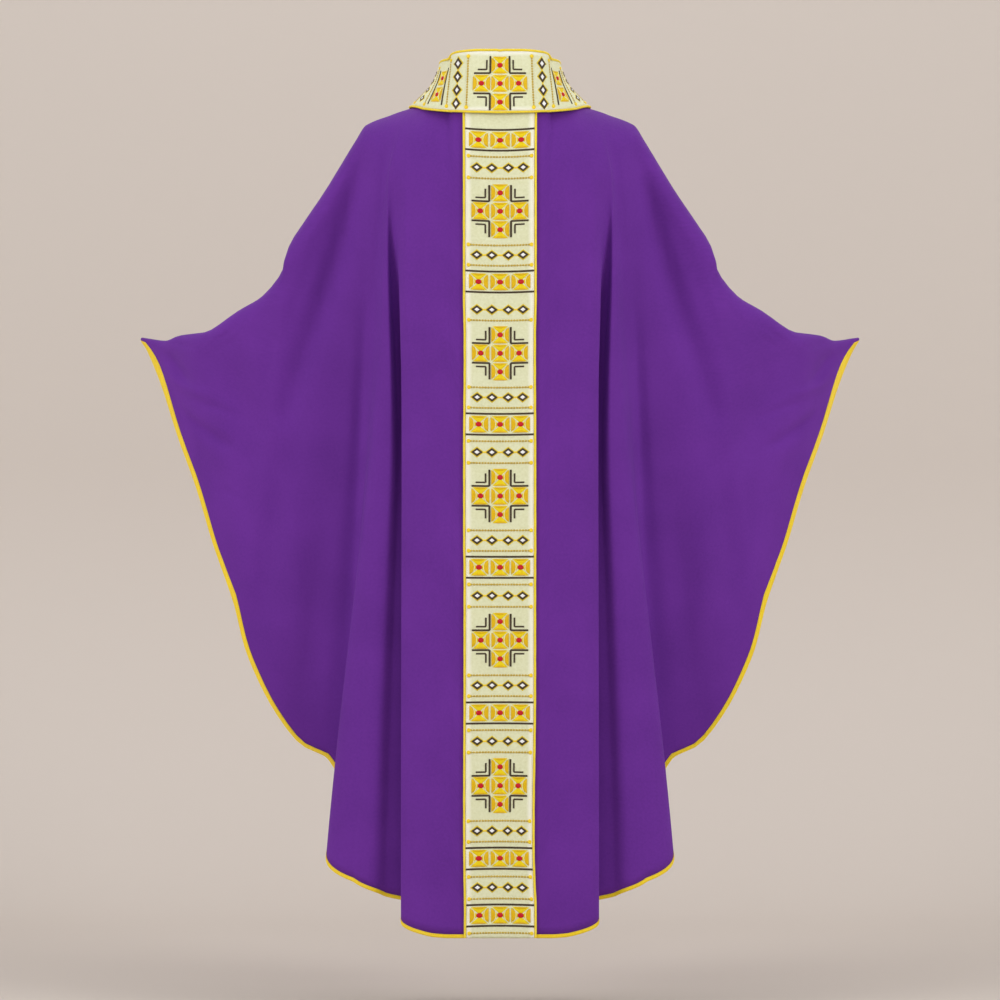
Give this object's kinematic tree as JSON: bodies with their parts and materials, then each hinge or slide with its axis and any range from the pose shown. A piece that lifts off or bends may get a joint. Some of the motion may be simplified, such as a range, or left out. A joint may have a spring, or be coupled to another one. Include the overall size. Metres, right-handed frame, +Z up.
{
  "type": "chasuble",
  "caption": "Violet gothic chasuble kept as worn: hollow, arms a little raised, with a high roll collar, a cream and gold band down the back and a gold bound hem.",
  "frame": {"origin": "middle of the neck opening, at the height where the garment rests on the shoulders", "axes": "+Z up along the standing length; the back with the embroidered band faces -Y and the wearer's front faces +Y; the garment is mirror-even about X = 0, from wing tip to wing tip along X"},
  "size_m": [1.1984, 0.3926, 1.4071],
  "materials": {
    "violet_cloth": "matt plain weave",
    "band_ribbon": "cream ribbon weave with gold embroidery",
    "gold_trim": "satin bias cloth and piping"
  },
  "bodies": {
    "root": {"back_panel": "violet_cloth", "front_panel": "violet_cloth", "back_hem_binding": "gold_trim", "front_hem_binding": "gold_trim", "back_band": "band_ribbon", "back_band_edge_left": "gold_trim", "back_band_edge_right": "gold_trim", "collar_fall": "band_ribbon", "collar_stand": "band_ribbon", "collar_top_piping": "gold_trim", "collar_hem_piping": "gold_trim"}
  },
  "joints": []
}
